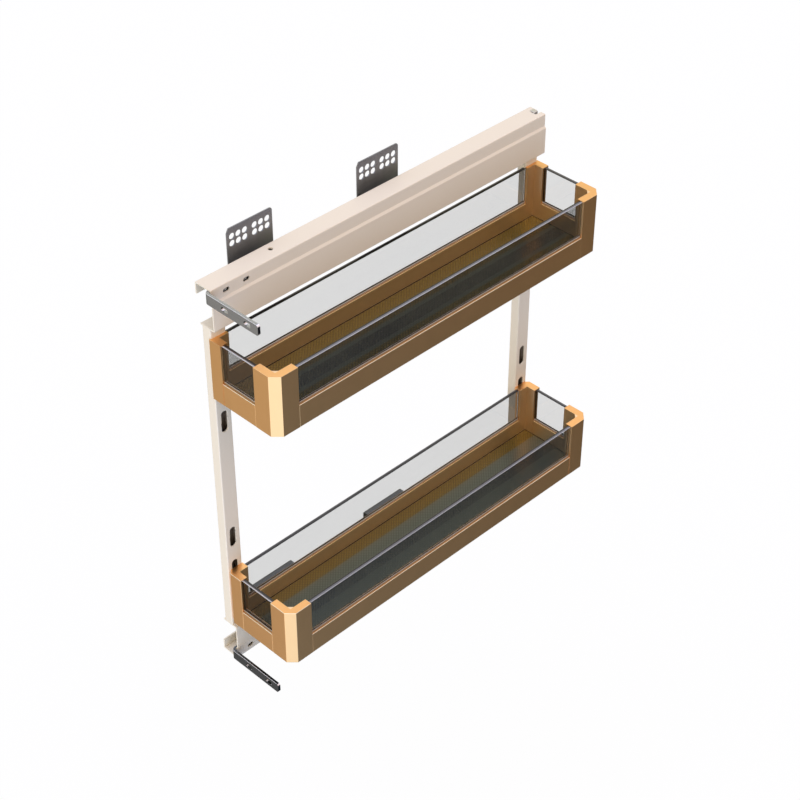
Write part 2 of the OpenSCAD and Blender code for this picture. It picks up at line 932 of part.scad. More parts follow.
module screw_bores(inset, post_in) {
    for (i = [0, 1])
        translate([0, post_in + post_w / 2, basket_screw_z + i * slot_pitch])
            bar_x(basket_screw_d / 2 + PLAY, inset - 1, inset + screw_reach(inset) + PLAY);
}

module turned_back() {
    translate([0, basket_l, 0])
        mirror([0, 1, 0])
            children();
}

// Corner piece beside a post
module left_corner(rear, inset) {
    color(GOLD)
        difference() {
            if (rear)
                turned_back()
                    drilled_corner(inset, basket_back);
            else
                drilled_corner(inset, basket_front);
            floor_space();
        }
}

module drilled_corner(inset, post_in) {
    difference() {
        corner_body(inner_leg, inner_flat, 0, inset, post_in, false);
        screw_bores(inset, post_in);
    }
}

// Corner piece away from the posts
module right_corner(rear) {
    color(GOLD)
        difference() {
            translate([basket_w, rear ? basket_l : 0, 0])
                mirror([1, 0, 0])
                    mirror([0, rear ? 1 : 0, 0])
                        corner_body(outer_leg, outer_flat, inside_flat, 0, 0, true);
            floor_space();
        }
}

// Section of a bottom rail, with v from its outer face: glass groove, chamber for the tongues
// and groove for the floor panel
module sill_section() {
    difference() {
        square([wall, sill_h]);
        translate([glass_v - glass_play, glass_bottom])
            square([glass_t + 2 * glass_play, glass_groove + 1]);
        translate([tongue_in, tongue_low])
            square([tongue_out - tongue_in, tongue_high - tongue_low]);
        translate([floor_in - floor_play, floor_z - floor_play])
            square([floor_bite + floor_play + 1, floor_t + 2 * floor_play]);
    }
}

// Bottom rail along X at the front of the basket
module cross_sill() {
    translate([inner_leg, 0, 0])
        rotate([90, 0, 90])
            linear_extrude(basket_w - inner_leg - outer_leg)
                sill_section();
}

module front_sill() {
    color(GOLD)
        cross_sill();
}

module rear_sill() {
    color(GOLD)
        turned_back()
            cross_sill();
}

module left_sill() {
    color(GOLD)
        along_y(inner_leg, basket_l - 2 * inner_leg)
            sill_section();
}

module right_sill() {
    color(GOLD)
        translate([basket_w, 0, 0])
            mirror([1, 0, 0])
                along_y(outer_leg, basket_l - 2 * outer_leg)
                    sill_section();
}

module cross_glass() {
    translate([inner_leg - glass_bite, glass_v, glass_bottom])
        cube([
            basket_w - inner_leg - outer_leg + 2 * glass_bite,
            glass_t,
            glass_top - glass_bottom
        ]);
}

module front_glass() {
    color(GLASS)
        cross_glass();
}

module rear_glass() {
    color(GLASS)
        turned_back()
            cross_glass();
}

// The glass beside the posts stands between the corner pieces, because the posts leave no room
module left_glass() {
    color(GLASS)
        translate([glass_v, inner_leg + glass_play, glass_bottom])
            cube([
                glass_t,
                basket_l - 2 * inner_leg - 2 * glass_play,
                glass_top - glass_bottom
            ]);
}

module right_glass() {
    color(GLASS)
        translate([basket_w - glass_v - glass_t, outer_leg - glass_bite, glass_bottom])
            cube([
                glass_t,
                basket_l - 2 * outer_leg + 2 * glass_bite,
                glass_top - glass_bottom
            ]);
}

module floor_panel() {
    color(SMOKE)
        translate([0, 0, floor_z])
            linear_extrude(floor_t)
                polygon(floor_outline(0));
}

// Flange-head screws from behind the posts, through their slots, into the corner pieces
module basket_screws(inset) {
    back = inset - post_d;
    color(STEEL)
        for (y = [rail_y, rear_post_y], i = [0, 1])
            translate([0, y + post_w / 2, basket_screw_z + i * slot_pitch]) {
                bar_x(basket_screw_d / 2, back - FLANGE_H, inset + screw_reach(inset));
                bar_x(basket_flange_d / 2, back - FLANGE_H, back);
                bar_x(basket_screw_d, back - FLANGE_H - HEAD_H, back - FLANGE_H + EPS);
            }
}

upper() bracket(front_bracket_y);  // upper_front_bracket
upper() bracket(rear_bracket_y);  // upper_rear_bracket
lower() bracket(front_bracket_y);  // lower_front_bracket
lower() bracket(rear_bracket_y);  // lower_rear_bracket
upper() cabinet_member();  // upper_cabinet_member
lower() cabinet_member();  // lower_cabinet_member
bracket_rivets();
upper() middle_member();  // upper_middle_member
lower() middle_member();  // lower_middle_member
upper() outer_cage();  // upper_outer_cage
lower() outer_cage();  // lower_outer_cage
upper() balls(outer_row, outer_h);  // upper_outer_balls
lower() balls(outer_row, outer_h);  // lower_outer_balls
upper() inner_cage();  // upper_inner_cage
lower() inner_cage();  // lower_inner_cage
upper() balls(inner_row, inner_h);  // upper_inner_balls
lower() balls(inner_row, inner_h);  // lower_inner_balls
upper() carrier_member();  // upper_carrier_member
lower() carrier_member();  // lower_carrier_member
upper() rail();  // upper_rail
lower() rail();  // lower_rail
in_frame() post(rail_y);  // front_post
in_frame() post(rear_post_y);  // rear_post
post_plugs();
post_screws();
upper() rear_hook();  // upper_rear_hook
lower() rear_hook();  // lower_rear_hook
upper() door_bracket();  // upper_door_bracket
lower() door_bracket();  // lower_door_bracket

in_upper_basket() left_corner(false, rebate);  // upper_front_left_corner
in_upper_basket() right_corner(false);  // upper_front_right_corner
in_upper_basket() left_corner(true, rebate);  // upper_rear_left_corner
in_upper_basket() right_corner(true);  // upper_rear_right_corner
in_upper_basket() front_sill();  // upper_front_sill
in_upper_basket() rear_sill();  // upper_rear_sill
in_upper_basket() left_sill();  // upper_left_sill
in_upper_basket() right_sill();  // upper_right_sill
in_upper_basket() front_glass();  // upper_front_glass
in_upper_basket() rear_glass();  // upper_rear_glass
in_upper_basket() left_glass();  // upper_left_glass
in_upper_basket() right_glass();  // upper_right_glass
in_upper_basket() floor_panel();  // upper_floor
in_upper_basket() basket_screws(rebate);  // upper_basket_screws

in_lower_basket() left_corner(false, 0);  // lower_front_left_corner
in_lower_basket() right_corner(false);  // lower_front_right_corner
in_lower_basket() left_corner(true, 0);  // lower_rear_left_corner
in_lower_basket() right_corner(true);  // lower_rear_right_corner
in_lower_basket() front_sill();  // lower_front_sill
in_lower_basket() rear_sill();  // lower_rear_sill
in_lower_basket() left_sill();  // lower_left_sill
in_lower_basket() right_sill();  // lower_right_sill
in_lower_basket() front_glass();  // lower_front_glass
in_lower_basket() rear_glass();  // lower_rear_glass
in_lower_basket() left_glass();  // lower_left_glass
in_lower_basket() right_glass();  // lower_right_glass
in_lower_basket() floor_panel();  // lower_floor
in_lower_basket() basket_screws(0);  // lower_basket_screws
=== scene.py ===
# %% [markdown]
# # A pull-out cabinet organizer
#
# Two glass baskets in gold frames hang on a folded cream frame that slides out of a narrow
# cabinet. The construction model gives every solid its place and size, and this script gives
# the surfaces their finish: powder coat, satin anodising, zinc, polished glass.
#
# All lengths are in metres, in the same frame as the construction model: +X is across the
# cabinet towards the baskets, -Y is the way the frame pulls out, +Z is up. The solids could be
# remodelled here with softer shapes, but then the picture and the mechanism could drift apart.
# So every solid stays as it came, and only materials and modifiers dress it.

import json
import math

import bpy
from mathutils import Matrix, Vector


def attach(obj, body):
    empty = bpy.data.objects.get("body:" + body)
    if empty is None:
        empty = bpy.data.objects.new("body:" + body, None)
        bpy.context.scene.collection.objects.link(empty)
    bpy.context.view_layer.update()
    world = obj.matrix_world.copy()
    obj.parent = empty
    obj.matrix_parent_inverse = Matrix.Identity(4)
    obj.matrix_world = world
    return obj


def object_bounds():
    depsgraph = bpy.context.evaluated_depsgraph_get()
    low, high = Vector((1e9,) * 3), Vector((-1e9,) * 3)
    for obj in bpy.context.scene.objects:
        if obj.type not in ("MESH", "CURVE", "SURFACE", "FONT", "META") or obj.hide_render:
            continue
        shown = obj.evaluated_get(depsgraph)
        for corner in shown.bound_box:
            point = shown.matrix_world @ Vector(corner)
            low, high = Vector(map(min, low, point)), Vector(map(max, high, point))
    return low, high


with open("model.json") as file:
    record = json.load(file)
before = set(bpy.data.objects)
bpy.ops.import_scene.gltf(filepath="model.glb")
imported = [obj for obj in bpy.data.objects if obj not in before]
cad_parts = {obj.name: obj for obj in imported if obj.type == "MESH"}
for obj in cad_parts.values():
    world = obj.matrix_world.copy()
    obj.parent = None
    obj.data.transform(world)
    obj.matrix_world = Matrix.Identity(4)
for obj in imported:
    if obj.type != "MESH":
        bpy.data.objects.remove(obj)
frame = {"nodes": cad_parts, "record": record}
cad_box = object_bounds()
nodes = frame["nodes"]
MM = 0.001
LEVELS = ("upper", "lower")
SIDES = ("front", "rear", "left", "right")


def box(name):
    """Lowest and highest corner of one solid."""
    corners = [tuple(corner) for corner in nodes[name].bound_box]
    return tuple(map(min, *corners)), tuple(map(max, *corners))


print(f"{len(nodes)} solids, box {[tuple(round(c, 4) for c in corner) for corner in cad_box]}")

# %% [markdown]
# ## The camera
#
# The object is seen from its front right corner and from above. A long lens at two metres
# keeps upright edges nearly parallel, as a product picture has them. The place and the lens
# come from the straight edges of the picture. Azimuth 45 means that the camera stands
# between +X and -Y. An Euler turn of 90 degrees minus the downward tilt, and then of the
# azimuth, aims a Blender camera, which looks along its own -Z.

# %% Camera
AZIMUTH = 45
TILT = 38
camera_data = bpy.data.cameras.new("product_camera")
camera_data.lens = 85
camera_data.sensor_width = 36
camera_data.clip_end = 50
camera = bpy.data.objects.new("product_camera", camera_data)
bpy.context.scene.collection.objects.link(camera)
camera.location = (1.13743, -0.94041, 0.94910)
camera.rotation_euler = (math.radians(90 - TILT), 0, math.radians(AZIMUTH))
bpy.context.scene.camera = camera
bpy.context.scene.view_settings.view_transform = "Standard"
print("camera stands at", tuple(camera.location))

# %% [markdown]
# ## Writing shaders as sums
#
# A finish is easier to read as arithmetic than as a web of nodes. `Wire` holds one output of
# a node, and its operators add Math nodes, also with a plain number on the left.


# %% Wire
class Wire:
    """One output of a node, ready for arithmetic."""

    def __init__(self, graph, socket):
        self.graph = graph
        self.socket = socket

    def __add__(self, other):
        return self.graph.math("ADD", self, other)

    def __sub__(self, other):
        return self.graph.math("SUBTRACT", self, other)

    def __rsub__(self, other):
        return self.graph.math("SUBTRACT", other, self)

    def __mul__(self, other):
        return self.graph.math("MULTIPLY", self, other)

    def __pow__(self, other):
        return self.graph.math("POWER", self, other)

    __radd__ = __add__
    __rmul__ = __mul__


print("node outputs can be added, subtracted, multiplied and raised")

# %% [markdown]
# `Graph` owns a node tree. The nodes could be linked one by one, but that takes several lines
# for each. So one method, `make`, adds a node from its type, the settings that are set first,
# and the values or wires of its sockets. The other methods are short names for common nodes.


# %% Graph
class Graph:
    """A node tree that is written as expressions."""

    def __init__(self, tree):
        self.tree = tree
        tree.nodes.clear()

    def make(self, kind, settings=None, sockets=None, output=0):
        node = self.tree.nodes.new(kind)
        for name, value in (settings or {}).items():
            setattr(node, name, value)
        for name, value in (sockets or {}).items():
            if isinstance(value, Wire):
                self.tree.links.new(value.socket, node.inputs[name])
            else:
                node.inputs[name].default_value = value
        return Wire(self, node.outputs[output]) if len(node.outputs) else node

    def math(self, operation, *values):
        return self.make("ShaderNodeMath", {"operation": operation}, dict(enumerate(values)))

    def blend(self, factor, first, second):
        """Mixes two colours: 0 gives the first, 1 the second."""
        return self.make(
            "ShaderNodeMix", {"data_type": "RGBA"}, {0: factor, 6: first, 7: second}, output=2
        )

    def dot(self, vector, direction):
        """How far a vector reaches along a direction."""
        return self.make(
            "ShaderNodeVectorMath",
            {"operation": "DOT_PRODUCT"},
            {0: vector, 1: direction},
            output="Value",
        )

    def facing(self, direction):
        """How squarely a face looks along a direction, before any relief."""
        return self.dot(self.make("ShaderNodeNewGeometry", output="True Normal"), direction)

    def part(self, vector, axis):
        """One coordinate of a vector."""
        return self.make("ShaderNodeSeparateXYZ", {}, {"Vector": vector}, output=axis)

    def ray(self, question):
        """What the light path says about the present ray."""
        return self.make("ShaderNodeLightPath", output=question)

    def place(self):
        """Where a point is on its own solid, in metres."""
        return self.make("ShaderNodeTexCoord", output="Object")

    def stretched(self, place, scale):
        return self.make("ShaderNodeMapping", {}, {"Vector": place, "Scale": scale})

    def noise(self, place, per_metre, detail=2.0, roughness=0.5):
        """Soft random variation around 0.5, with so many cells in a metre."""
        return self.make(
            "ShaderNodeTexNoise",
            {},
            {"Vector": place, "Scale": per_metre, "Detail": detail, "Roughness": roughness},
        )

    def bump(self, height, distance, strength=1.0):
        """Turns a height from 0 to 1 into a normal; distance is the relief in metres."""
        return self.make(
            "ShaderNodeBump", {}, {"Height": height, "Distance": distance, "Strength": strength}
        )


print("shader helpers ready")

# %% [markdown]
# ## The studio
#
# A product like this is photographed against pure white, with large soft lights all round.
# Here the world is that room. Each row of `LIGHTS` is one wide soft light, by its direction
# and its colour, and a direction of the world gets the sum of what they send. A light fades
# from its middle with the power `FADE` of the cosine. The lights along an axis are even in
# the middle, at `FLAT_TOP` of their strength. The strong ones are overhead, in front, and low
# on the right: that makes the tops light, the fronts nearly as light, and the sides darker.
#
# Rays from the camera see plain white instead, and so do rays that have only gone through
# glass. The room is overexposed by `OVER`, so that tinted glass against it looks light. A ray
# has only gone through glass when its depth is all transmission.
#
# Area lamps could light it too, but each would leave its outline in the gold and the glass. A
# sum of soft lobes has no outline, and its colours can be fitted one by one to the tones that
# the faces of a product have.


# %% World
LIGHTS = [
    ((1, 0, 0), (0.02, 0.02, 0.02)),
    ((-1, 0, 0), (0.20, 0.20, 0.15)),
    ((0, 1, 0), (0.09, 0.10, 0.08)),
    ((0, -1, 0), (1.56, 1.35, 1.05)),
    ((0, 0, 1), (1.22, 1.54, 2.55)),
    ((0, 0, -1), (0.09, 0.10, 0.08)),
    ((1, 1, 1), (0.61, 0.34, 0.16)),
    ((1, -1, 1), (0.90, 0.68, 0.38)),
    ((1, -1, -1), (0.79, 1.20, 2.00)),
    ((-1, 1, 1), (0.68, 0.57, 0.26)),
    ((-1, 1, -1), (0.11, 0.14, 0.11)),
    ((-1, -1, 1), (0.11, 0.14, 0.22)),
    ((-1, -1, -1), (0.13, 0.105, 0.09)),
    ((1, 1, -1), (0.015, 0.01, 0.01)),
]
OVER = 1.9
FADE = 3
FLAT_TOP = 0.5


def unturned(g):
    """1 for a ray that no surface has reflected or scattered."""
    return g.math("LESS_THAN", g.ray("Ray Depth") - g.ray("Transmission Depth"), 0.5)


def studio_world():
    world = bpy.data.worlds.new("studio")
    bpy.context.scene.world = world
    world.use_nodes = True
    g = Graph(world.node_tree)
    sight = g.make("ShaderNodeTexCoord", output="Generated")
    levels = [0.0, 0.0, 0.0]
    for direction, colour in LIGHTS:
        towards = Vector(direction).normalized()
        lobe = g.math("MAXIMUM", g.dot(sight, tuple(towards)), 0.0) ** FADE
        if direction.count(0) == 2:
            lobe = g.math("MINIMUM", lobe, FLAT_TOP)
        levels = [level + part * lobe for level, part in zip(levels, colour)]
    camera_ray = g.ray("Is Camera Ray")
    seen_through = g.ray("Is Transmission Ray") * unturned(g)
    room = (1 - camera_ray) * (1 - seen_through)
    white = camera_ray + OVER * seen_through
    parts = {name: level * room + white for name, level in zip(("Red", "Green", "Blue"), levels)}
    colour = g.make("ShaderNodeCombineColor", {}, parts)
    background = g.make("ShaderNodeBackground", {}, {"Color": colour, "Strength": 1.0})
    g.make("ShaderNodeOutputWorld", {}, {"Surface": background})


studio_world()
print(f"world: {len(LIGHTS)} soft lights, white to the camera")

# %% [markdown]
# The floor lies below the object, which hangs in its cabinet and touches no floor. For the
# camera it glows white, with a little of its shaded surface left so that the soft shadow
# shows. A shadow catcher could do that, but it needs a compositor to put white behind it, and
# a material works in any render. The floor sends no light back to the object, and a reflection
# in glass looks through it into the room.


# %% Floor
FLOOR_DROP = 0.25
FLOOR_HALF = 6.0
GLOW_SHARE = 0.94


def floor_material():
    material = bpy.data.materials.new("studio_floor")
    material.use_nodes = True
    g = Graph(material.node_tree)
    level = g.ray("Is Camera Ray") + OVER * g.ray("Is Transmission Ray")
    paper = g.make("ShaderNodeBsdfDiffuse", {}, {"Color": (0.9, 0.9, 0.9, 1)})
    glow = g.make("ShaderNodeEmission", {}, {"Color": (1, 1, 1, 1), "Strength": level})
    sheet = g.make("ShaderNodeMixShader", {}, {0: GLOW_SHARE, 1: paper, 2: glow})
    clear = g.make("ShaderNodeBsdfTransparent", {}, {"Color": (1, 1, 1, 1)})
    surface = g.make("ShaderNodeMixShader", {}, {0: unturned(g), 1: clear, 2: sheet})
    g.make("ShaderNodeOutputMaterial", {}, {"Surface": surface})
    return material


corners = ((-1, -1), (1, -1), (1, 1), (-1, 1))
height = cad_box[0][2] - FLOOR_DROP
floor_mesh = bpy.data.meshes.new("studio_floor")
floor_mesh.from_pydata(
    [(x * FLOOR_HALF, y * FLOOR_HALF, height) for x, y in corners], [], [(0, 1, 2, 3)]
)
floor_mesh.materials.append(floor_material())
studio_floor = bpy.data.objects.new("studio_floor", floor_mesh)
bpy.context.scene.collection.objects.link(studio_floor)
studio_floor.visible_glossy = False
studio_floor.visible_diffuse = False
studio_floor.visible_shadow = False
print(f"floor {FLOOR_DROP * 1000:.0f} mm below the object")

# %% [markdown]
# ## Finishes
#
# `finish` makes a Principled material. Its colour, metallic and roughness each take a value,
# or a function that writes it as a sum in the material's graph. Such a function gets the graph
# and the place of the point on its solid. `varied`, `around` and `grain` return the usual
# ones: a colour in soft patches, a number that wanders, and fine relief. Painted images could
# carry all this, but noise in the solid's own coordinates needs no unwrapping and has no seam.


# %% A metal or paint finish
def finish(name, colour, metallic, roughness, bump=None, **constants):
    """A Principled finish from values or from functions of the graph and the place."""
    material = bpy.data.materials.new(name)
    material.use_nodes = True
    g = Graph(material.node_tree)
    here = g.place()
    sockets = {
        "Base Color": colour(g, here) if callable(colour) else colour,
        "Metallic": metallic(g, here) if callable(metallic) else metallic,
        "Roughness": roughness(g, here) if callable(roughness) else roughness,
    }
    if bump:
        sockets["Normal"] = bump(g, here)
    for key, value in constants.items():
        sockets[key.replace("_", " ")] = value
    shader = g.make("ShaderNodeBsdfPrincipled", {}, sockets)
    g.make("ShaderNodeOutputMaterial", {}, {"Surface": shader})
    return material


def varied(first, second, per_metre, stretch=(1, 1, 1)):
    """A colour that wanders between two, in soft patches."""

    def colour(g, here):
        patches = g.noise(g.stretched(here, stretch), per_metre, detail=3)
        return g.blend(patches, first, second)

    return colour


def around(value, spread, per_metre, stretch=(1, 1, 1)):
    """A number that wanders around a value."""

    def number(g, here):
        patches = g.noise(g.stretched(here, stretch), per_metre, detail=3)
        return (value - spread) + 2 * spread * patches

    return number


def grain(per_metre, depth, stretch=(1, 1, 1), detail=2.0):
    """Fine relief, depth in metres."""

    def normal(g, here):
        return g.bump(g.noise(g.stretched(here, stretch), per_metre, detail), depth)

    return normal


print("finish helpers ready")

# %% [markdown]
# The frame is powder coated: baked paint, so it is not metallic, has a soft sheen and a very
# slight texture. The brackets are dull zinc plate, whose crystals make grey patches of a few
# millimetres. Both need no more than the three usual functions.

# %% Paint and dull zinc
CREAM = (0.815, 0.738, 0.582, 1)
CREAM_LIGHT = (0.835, 0.758, 0.602, 1)
cream = finish(
    "cream_powder_coat",
    varied(CREAM, CREAM_LIGHT, 30),
    0.0,
    around(0.40, 0.03, 60),
    grain(700, 0.000003),
)
zinc_dull = finish(
    "zinc_plate_dull",
    varied((0.235, 0.245, 0.255, 1), (0.315, 0.32, 0.33, 1), 120),
    0.85,
    around(0.48, 0.08, 150),
    grain(700, 0.000004),
)
print("paint and dull zinc made")

# %% [markdown]
# The door bars are drawn steel, brushed along their length, so the noise is stretched along X.
# Their rounded upper edges get a painted highlight and the sawn end gets painted shade. Those
# parts could be picked by hand in Edit Mode, but the way a face looks, its True Normal, tells
# them apart by itself: an edge's rounding leans between level and upright. The lower bar gets
# painted shade, a darker copy of the upper one's tone, and its height tells which bar a point is
# on.

# %% Door bars
LIP_FROM = 0.3
LIP_TO = 0.95
BETWEEN_BARS = -0.2
# The lower bar's darker pair is painted shade, the near black end is painted shade, and the near
# white is a painted highlight on the upper edges.
BAR_LIGHT = ((0.34, 0.36, 0.38, 1), (0.44, 0.455, 0.47, 1))
BAR_SHADED = ((0.08, 0.085, 0.092, 1), (0.12, 0.125, 0.13, 1))
BAR_END_SHADE = (0.03, 0.03, 0.032, 1)
BAR_PAINTED_HIGHLIGHT = (0.95, 0.95, 0.95, 1)


def highlight_edge(g):
    """1 on the rounded upper edges of a solid, where a highlight is painted."""
    rise = g.facing((0, 0, 1))
    return g.math("GREATER_THAN", rise, LIP_FROM) * g.math("LESS_THAN", rise, LIP_TO)


def bar_colour(g, here):
    """Brushed flats, a painted highlight on the upper edges and painted shade on the cut end and
    the lower bar.
    """
    lower, upper = (varied(*pair, 300, (0.06, 1, 1))(g, here) for pair in (BAR_SHADED, BAR_LIGHT))
    flats = g.blend(g.math("GREATER_THAN", g.part(here, "Z"), BETWEEN_BARS), lower, upper)
    shaded_end = g.math("GREATER_THAN", g.facing((1, 0, 0)), 0.75)
    return g.blend(highlight_edge(g), g.blend(shaded_end, flats, BAR_END_SHADE), BAR_PAINTED_HIGHLIGHT)


bar_steel = finish(
    "bar_brushed",
    bar_colour,
    lambda g, here: 0.9 - 0.5 * highlight_edge(g),
    around(0.22, 0.05, 500, (0.05, 1, 1)),
    grain(1600, 0.00001, (0.05, 1, 1)),
)
print("brushed bars made")

# %% [markdown]
# The slides are rolled from bright zinc-plated strip, so their grain runs along Y. The same
# finish serves the small hardware. The cages that carry the balls are passivated yellow, and
# the balls themselves are hardened and polished steel. They show when the frame is pulled out.

# %% Slides, cages and balls
zinc_bright = finish(
    "zinc_plate_bright",
    varied((0.62, 0.63, 0.64, 1), (0.72, 0.73, 0.74, 1), 90, (1, 0.1, 1)),
    1.0,
    around(0.30, 0.05, 200, (1, 0.1, 1)),
    grain(1200, 0.000006, (1, 0.1, 1)),
)
brass = finish(
    "yellow_passivated",
    varied((0.66, 0.50, 0.22, 1), (0.74, 0.60, 0.30, 1), 150),
    1.0,
    around(0.34, 0.05, 200),
    grain(1500, 0.000006),
)
chrome = finish(
    "ball_polished",
    varied((0.78, 0.79, 0.80, 1), (0.84, 0.84, 0.85, 1), 400),
    1.0,
    around(0.08, 0.03, 600),
)
print("slide finishes made")

# %% [markdown]
# ## Finishes that follow the shape
#
# The finishes of a basket change with the place. `plan` measures how far a point is inside a
# box, seen from above, and `inside` turns that into a mask. `cavity` is the space that a
# basket's rails enclose. A material for each face could do the same, but it would need edits
# to the meshes, and the masks follow the model when a size changes.


# %% Masks seen from above
def plan(g, here, low, high):
    """Distances of a point from a box's upright faces, positive inside it: across and along."""
    return [
        (b - a) / 2 - g.math("ABSOLUTE", g.part(here, axis) - (a + b) / 2)
        for axis, a, b in zip("XY", low, high)
    ]


def inside(g, here, low, high, margin=0.0):
    """1 inside the upright shaft that a box stands in, 0 outside it."""
    across, along = plan(g, here, low, high)
    return g.math("GREATER_THAN", across, margin) * g.math("GREATER_THAN", along, margin)


def cavity(level):
    """The inner plan of a basket, between the inner faces of its rails."""
    low = (box(f"{level}_left_sill")[1][0], box(f"{level}_front_sill")[1][1])
    high = (box(f"{level}_right_sill")[0][0], box(f"{level}_rear_sill")[0][1])
    return low, high


for level in LEVELS:
    print(level, "cavity", [[round(value / MM, 1) for value in corner] for corner in cavity(level)])

# %% [markdown]
# The rails and corner pieces are aluminium with gold anodising: metal under a thin clear layer
# of oxide, so the finish is metallic with a weak coat. Blasting before the bath makes it
# satin, which is roughness with hardly any relief. The faces that look inwards get painted
# light, a paler and less metallic tone for the light from all round, and the rounded upper
# edges get a painted highlight. The lower basket's outer gold is a little darker, as painted
# shade. The rounded edges count as inner up to `LIP_MARGIN` outside the cavity, because the
# rounding stands on the wall.

# %% Gold
# The lower basket's outer tones are a little darker, as painted shade; the inner tones are painted
# light and the pale edge tones are painted highlights.
OUTER_GOLD = {
    "upper": ((0.955, 0.54, 0.212, 1), (0.97, 0.555, 0.222, 1)),
    "lower": ((0.94, 0.51, 0.193, 1), (0.955, 0.525, 0.203, 1)),
}
INNER_GOLD_PAINTED_LIGHT = ((0.99, 0.71, 0.43, 1), (1.0, 0.73, 0.45, 1))
OUTER_PAINTED_HIGHLIGHT = (1.0, 0.90, 0.63, 1)
INNER_PAINTED_HIGHLIGHT = (0.98, 0.72, 0.29, 1)
FACE_MARGIN = -0.15 * MM
LIP_MARGIN = -0.6 * MM


def gold_finish(level):
    def faces_in(g, here, margin=FACE_MARGIN):
        return inside(g, here, *cavity(level), margin)

    def colour(g, here):
        pairs = (OUTER_GOLD[level], INNER_GOLD_PAINTED_LIGHT)
        outer, inner = (g.blend(g.noise(here, 25, 3), *pair) for pair in pairs)
        edge = g.blend(faces_in(g, here, LIP_MARGIN), OUTER_PAINTED_HIGHLIGHT, INNER_PAINTED_HIGHLIGHT)
        return g.blend(highlight_edge(g), g.blend(faces_in(g, here), outer, inner), edge)

    return finish(
        f"gold_anodised_{level}",
        colour,
        lambda g, here: 1 - 0.035 * faces_in(g, here) - 0.60 * highlight_edge(g),
        around(0.33, 0.03, 80),
        grain(700, 0.0000015),
        Coat_Weight=0.25,
        Coat_Roughness=0.12,
    )


gold = {level: gold_finish(level) for level in LEVELS}
print("gold finishes made for", " and ".join(gold))

# %% [markdown]
# The panes are 4 mm grey float glass with polished edges, which glow with light from inside
# the pane. Tracing that takes many samples and turns out noisy, so an opaque finish paints that
# light and the shade beside it: a line along the outer edge, a middle band and a dark inner
# part, each side of a basket with its own tones, and a painted highlight on the arris outside
# and painted shade on the one inside.

# %% Edges of the panes
# Painted glow and shade on the pane tops: the outer line and the band, then the dark inner part.
PAINTED_PANE_TOPS = {
    "front": ((0.42, 0.41, 0.40, 1), (0.045, 0.038, 0.032, 1)),
    "rear": ((0.10, 0.10, 0.105, 1), (0.08, 0.083, 0.087, 1)),
    "left": ((0.10, 0.10, 0.105, 1), (0.035, 0.035, 0.037, 1)),
    "right": ((0.23, 0.235, 0.25, 1), (0.14, 0.145, 0.16, 1)),
}
ARRIS_SHADE = (0.02, 0.02, 0.02, 1)
ARRIS_HIGHLIGHT = (0.70, 0.72, 0.73, 1)
TOP_INNER_SHADE = (0.012, 0.012, 0.012, 1)
BAND_FROM = -0.9 * MM
BAND_TO = 0.3 * MM


def away_from_middle(g, here, level):
    """1 where a face of a pane looks out of its basket."""
    low, high = cavity(level)
    middle = ((low[0] + high[0]) / 2, (low[1] + high[1]) / 2, 0)
    outwards = g.make(
        "ShaderNodeVectorMath",
        {"operation": "SUBTRACT"},
        {0: g.stretched(here, (1, 1, 0)), 1: middle},
    )
    normal = g.make("ShaderNodeNewGeometry", output="True Normal")
    return g.math("GREATER_THAN", g.dot(normal, outwards), 0.0)


def pane_top(g, here, level, side):
    """The painted glow and shade across the top of a pane, from outside to inside."""
    low, high = box(f"{level}_{side}_glass")
    axis = 0 if side in ("left", "right") else 1
    sign = 1 if side in ("left", "front") else -1
    inwards = sign * (g.part(here, "XY"[axis]) - (low[axis] + high[axis]) / 2)
    top = g.blend(g.math("GREATER_THAN", inwards, BAND_FROM), *PAINTED_PANE_TOPS[side])
    return g.blend(g.math("GREATER_THAN", inwards, BAND_TO), top, TOP_INNER_SHADE)


print("tones set for the tops of", len(PAINTED_PANE_TOPS), "panes in each basket")

# %% [markdown]
# A Principled shader with full transmission gives the faces of a pane. Its shadows would be
# dark, because a shadow ray goes straight and can't follow light that bends. So that ray meets
# a nearly clear surface instead, and the baskets stay light inside. `rise` tells the parts of
# a pane from each other: it is 0 on a face, 1 on the flat top, and between on an arris. The
# upright edges count as faces, as the corner pieces hide them.

# %% Glass
GLASS_TINT = ((0.423, 0.424, 0.424, 1), (0.431, 0.432, 0.432, 1))
GLASS_SHADOW = (0.92, 0.925, 0.92, 1)
END_PANE_IOR = {"upper": 1.3, "lower": 1.12}


def glass_finish(level, side):
    """Tinted float glass, with painted light and shade on its polished edges and arrises."""
    material = bpy.data.materials.new(f"float_glass_{level}_{side}")
    material.use_nodes = True
    g = Graph(material.node_tree)
    here = g.place()
    face = {
        "Base Color": g.blend(g.noise(here, 8), *GLASS_TINT),
        "Roughness": 0.02,
        "IOR": END_PANE_IOR[level] if side == "front" else 1.5,
        "Transmission Weight": 1.0,
    }
    sheet = g.make("ShaderNodeBsdfPrincipled", {}, face)
    clear = g.make("ShaderNodeBsdfTransparent", {}, {"Color": GLASS_SHADOW})
    lit = g.make("ShaderNodeMixShader", {}, {0: g.ray("Is Shadow Ray"), 1: sheet, 2: clear})
    rise = g.math("ABSOLUTE", g.facing((0, 0, 1)))
    flat_edge = g.math("GREATER_THAN", rise, 0.9)
    arris = g.blend(away_from_middle(g, here, level), ARRIS_SHADE, ARRIS_HIGHLIGHT)
    painted_edge = {
        "Base Color": g.blend(flat_edge, arris, pane_top(g, here, level, side)),
        "Roughness": 0.5 - 0.35 * flat_edge,
    }
    edge = g.make("ShaderNodeBsdfPrincipled", {}, painted_edge)
    on_edge = g.math("GREATER_THAN", rise, 0.3)
    surface = g.make("ShaderNodeMixShader", {}, {0: on_edge, 1: lit, 2: edge})
    g.make("ShaderNodeOutputMaterial", {}, {"Surface": surface})
    return material


glass = {(level, side): glass_finish(level, side) for level in LEVELS for side in SIDES}
print("made", len(glass), "pane finishes")
